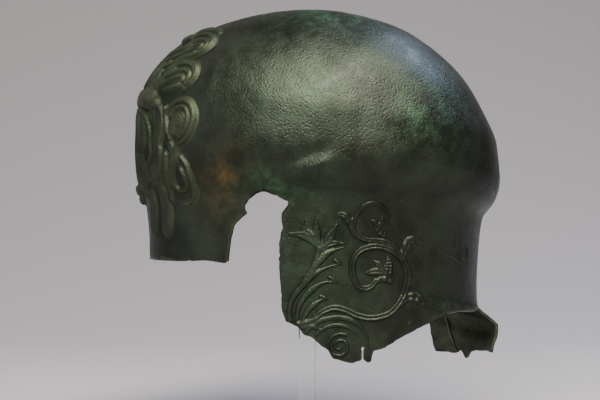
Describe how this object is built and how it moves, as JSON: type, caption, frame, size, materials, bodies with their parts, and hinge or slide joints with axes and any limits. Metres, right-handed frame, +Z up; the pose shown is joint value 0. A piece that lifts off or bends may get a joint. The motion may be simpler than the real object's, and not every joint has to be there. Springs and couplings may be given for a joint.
{
  "type": "greek helmet on clear post stand",
  "caption": "Ancient bronze helmet with curled locks on the brow and scrolled side panels, its rim partly broken away, on a clear post stand",
  "frame": {"origin": "centre of the underside of the stand's base", "axes": "+X to the helmet's left, +Y to the helmet's back, +Z up"},
  "size_m": [0.196, 0.2501, 0.2934],
  "materials": {
    "bronze": "dark green patinated bronze sheet, worn to a soft sheen",
    "lock_bronze": "dark green patinated bronze, raised by hammering",
    "acrylic": "polished clear acrylic"
  },
  "bodies": {
    "root": {"helmet_shell": "bronze", "brow_applique": "lock_bronze", "stand_base": "acrylic", "stand_post": "acrylic", "stand_pad": "acrylic"}
  },
  "joints": []
}
